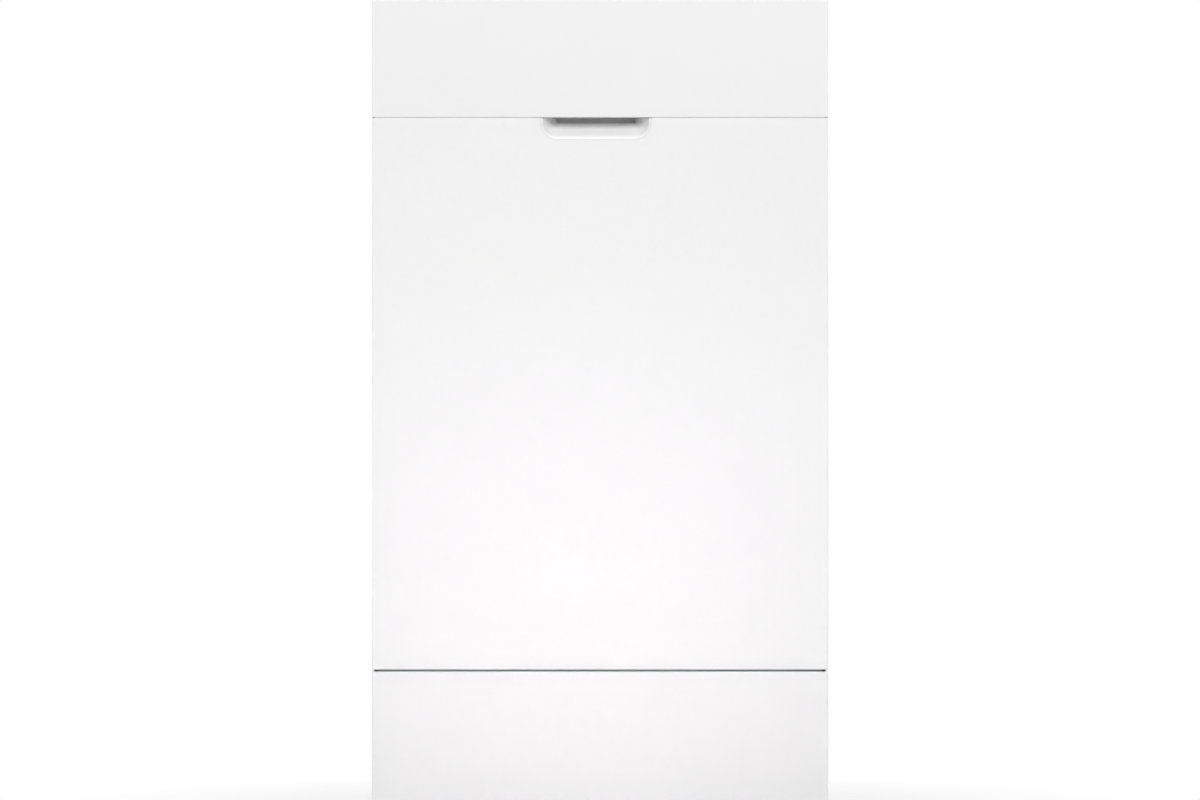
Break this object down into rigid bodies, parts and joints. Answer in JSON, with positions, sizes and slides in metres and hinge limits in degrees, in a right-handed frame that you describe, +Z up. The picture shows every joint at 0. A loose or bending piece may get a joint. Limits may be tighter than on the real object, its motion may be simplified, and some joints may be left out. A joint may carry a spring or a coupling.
{
  "type": "dishwasher",
  "caption": "Slimline white dishwasher with a bare fascia, recessed pull, drop-down door, sliding wire racks, spray arms and hidden top-edge keys.",
  "frame": {"origin": "on the floor, under the middle of the cabinet", "axes": "+X to the right seen from the front, the door faces -Y, +Z up"},
  "size_m": [0.448, 0.57, 0.815],
  "materials": {
    "white_enamel": "smooth white stove enamel",
    "white_moulding": "satin white moulding",
    "stainless": "brushed stainless sheet",
    "galvanised": "galvanised steel",
    "bright_pin": "plated steel",
    "base_plastic": "dark grey moulding",
    "pump_plastic": "grey moulding",
    "grey_plastic": "light grey moulding",
    "coated_wire": "grey coated steel wire",
    "rail_steel": "satin rail",
    "seal_rubber": "black moulded rubber",
    "felt": "sound felt",
    "control_black": "black moulding",
    "keys": "light grey keys",
    "display_glass": "smoked window",
    "circuit": "circuit board"
  },
  "bodies": {
    "cabinet": {"side_panel_left": "white_enamel", "side_panel_right": "white_enamel", "top_cover": "galvanised", "rear_panel": "galvanised", "front_frame": "stainless", "worktop_tabs": "galvanised", "base_pan": "base_plastic", "plinth": "white_enamel", "tub_walls": "stainless", "tub_floor": "stainless", "door_seal": "seal_rubber", "sump": "pump_plastic", "filter_plate": "stainless", "softener_tank": "base_plastic", "circulation_pump": "pump_plastic", "drain_pump": "pump_plastic", "inlet_valve": "base_plastic", "riser_duct": "grey_plastic", "ceiling_sprayer": "grey_plastic", "upper_rack_guides": "grey_plastic", "hinge_brackets": "galvanised", "hinge_pins": "bright_pin", "door_springs": "galvanised", "latch_strike": "galvanised"},
    "door": {"door_outer_panel": "white_enamel", "fascia": "white_moulding", "handle_pocket": "white_moulding", "control_strip": "control_black", "display_window": "display_glass", "control_board": "circuit", "door_liner": "stainless", "door_insulation": "felt", "hinge_arms": "galvanised", "latch_case": "galvanised", "dispenser_body": "grey_plastic"},
    "lower_rack": {"lower_rack": "coated_wire", "lower_rack_handle": "grey_plastic", "lower_wheel_carriers": "grey_plastic", "cutlery_basket": "grey_plastic"},
    "upper_rack": {"upper_rack": "coated_wire", "upper_rack_rails": "rail_steel", "upper_arm_feed": "grey_plastic"},
    "lower_front_wheels": {"lower_front_wheels": "grey_plastic"},
    "lower_rear_wheels": {"lower_rear_wheels": "grey_plastic"},
    "lower_spray_arm": {"lower_spray_arm": "grey_plastic"},
    "upper_spray_arm": {"upper_spray_arm": "grey_plastic"},
    "filter_cylinder": {"filter_cylinder": "grey_plastic"},
    "salt_cap": {"salt_cap": "grey_plastic"},
    "pump_rotor": {"pump_rotor": "pump_plastic"},
    "drain_impeller": {"drain_impeller": "pump_plastic"},
    "foot_front_left": {"foot_front_left": "base_plastic"},
    "foot_front_right": {"foot_front_right": "base_plastic"},
    "foot_rear_left": {"foot_rear_left": "base_plastic"},
    "foot_rear_right": {"foot_rear_right": "base_plastic"},
    "power_button": {"power_button": "keys"},
    "program_button": {"program_button": "keys"},
    "start_button": {"start_button": "keys"},
    "latch_hook": {"latch_hook": "control_black"},
    "dispenser_lid": {"dispenser_lid": "grey_plastic"},
    "rinse_aid_cap": {"rinse_aid_cap": "grey_plastic"}
  },
  "joints": [
    {"name": "door_hinge", "type": "hinge", "parent": "cabinet", "child": "door", "pos_m": [0, -0.273, 0.1665], "axis": [1, 0, 0], "range_deg": [0, 90], "stiffness_Nm_per_rad": 12, "deforming": ["door_springs"]},
    {"name": "upper_rack_slide", "type": "slide", "parent": "cabinet", "child": "upper_rack", "axis": [0, -1, 0], "range_m": [0, 0.3605]},
    {"name": "lower_rack_slide", "type": "slide", "parent": "cabinet", "child": "lower_rack", "axis": [0, -1, 0], "range_m": [0, 0.2005]},
    {"name": "lower_front_wheels_turn", "type": "hinge", "parent": "lower_rack", "child": "lower_front_wheels", "pos_m": [0, -0.048, 0.2158], "axis": [1, 0, 0], "range_deg": [0, 718]},
    {"name": "lower_rear_wheels_turn", "type": "hinge", "parent": "lower_rack", "child": "lower_rear_wheels", "pos_m": [0, 0.18, 0.2158], "axis": [1, 0, 0], "range_deg": [0, 718]},
    {"name": "lower_arm_spin", "type": "hinge", "parent": "cabinet", "child": "lower_spray_arm", "pos_m": [0, 0.01, 0.19], "axis": [0, 0, 1], "continuous": true},
    {"name": "upper_arm_spin", "type": "hinge", "parent": "upper_rack", "child": "upper_spray_arm", "pos_m": [0, 0.01, 0.49], "axis": [0, 0, 1], "continuous": true},
    {"name": "filter_turn", "type": "hinge", "parent": "cabinet", "child": "filter_cylinder", "pos_m": [0.045, -0.095, 0.172], "axis": [0, 0, 1], "range_deg": [0, 90]},
    {"name": "salt_cap_turn", "type": "hinge", "parent": "cabinet", "child": "salt_cap", "pos_m": [-0.112, -0.06, 0.178], "axis": [0, 0, 1], "range_deg": [0, 360]},
    {"name": "pump_spin", "type": "hinge", "parent": "cabinet", "child": "pump_rotor", "pos_m": [0.045, 0.095, 0.084], "axis": [1, 0, 0], "continuous": true},
    {"name": "drain_spin", "type": "hinge", "parent": "cabinet", "child": "drain_impeller", "pos_m": [0.13, -0.095, 0.122], "axis": [1, 0, 0], "continuous": true},
    {"name": "latch_turn", "type": "hinge", "parent": "door", "child": "latch_hook", "pos_m": [0, -0.258, 0.8039], "axis": [-1, 0, 0], "range_deg": [0, 9], "stiffness_Nm_per_rad": 0.05},
    {"name": "dispenser_lid_turn", "type": "hinge", "parent": "door", "child": "dispenser_lid", "pos_m": [0, -0.2415, 0.4173], "axis": [-1, 0, 0], "range_deg": [0, 100]},
    {"name": "rinse_cap_turn", "type": "hinge", "parent": "door", "child": "rinse_aid_cap", "pos_m": [0.046, -0.243, 0.4575], "axis": [0, 1, 0], "range_deg": [0, 90]},
    {"name": "foot_front_left_height", "type": "slide", "parent": "cabinet", "child": "foot_front_left", "axis": [0, 0, -1], "range_m": [0, 0.05]},
    {"name": "foot_front_right_height", "type": "slide", "parent": "cabinet", "child": "foot_front_right", "axis": [0, 0, -1], "range_m": [0, 0.05]},
    {"name": "foot_rear_left_height", "type": "slide", "parent": "cabinet", "child": "foot_rear_left", "axis": [0, 0, -1], "range_m": [0, 0.05]},
    {"name": "foot_rear_right_height", "type": "slide", "parent": "cabinet", "child": "foot_rear_right", "axis": [0, 0, -1], "range_m": [0, 0.05]},
    {"name": "power_button_press", "type": "slide", "parent": "door", "child": "power_button", "axis": [0, 0, -1], "range_m": [0, 0.0012], "stiffness_N_per_m": 600},
    {"name": "program_button_press", "type": "slide", "parent": "door", "child": "program_button", "axis": [0, 0, -1], "range_m": [0, 0.0012], "stiffness_N_per_m": 600},
    {"name": "start_button_press", "type": "slide", "parent": "door", "child": "start_button", "axis": [0, 0, -1], "range_m": [0, 0.0012], "stiffness_N_per_m": 600}
  ],
  "couplings": [
    {"joint": "upper_rack_slide", "follows": "door_hinge", "m_per_rad": 0.22918},
    {"joint": "lower_rack_slide", "follows": "door_hinge", "m_per_rad": 0.12732},
    {"joint": "lower_front_wheels_turn", "follows": "door_hinge", "ratio": 7.9577},
    {"joint": "lower_rear_wheels_turn", "follows": "door_hinge", "ratio": 7.9577}
  ]
}
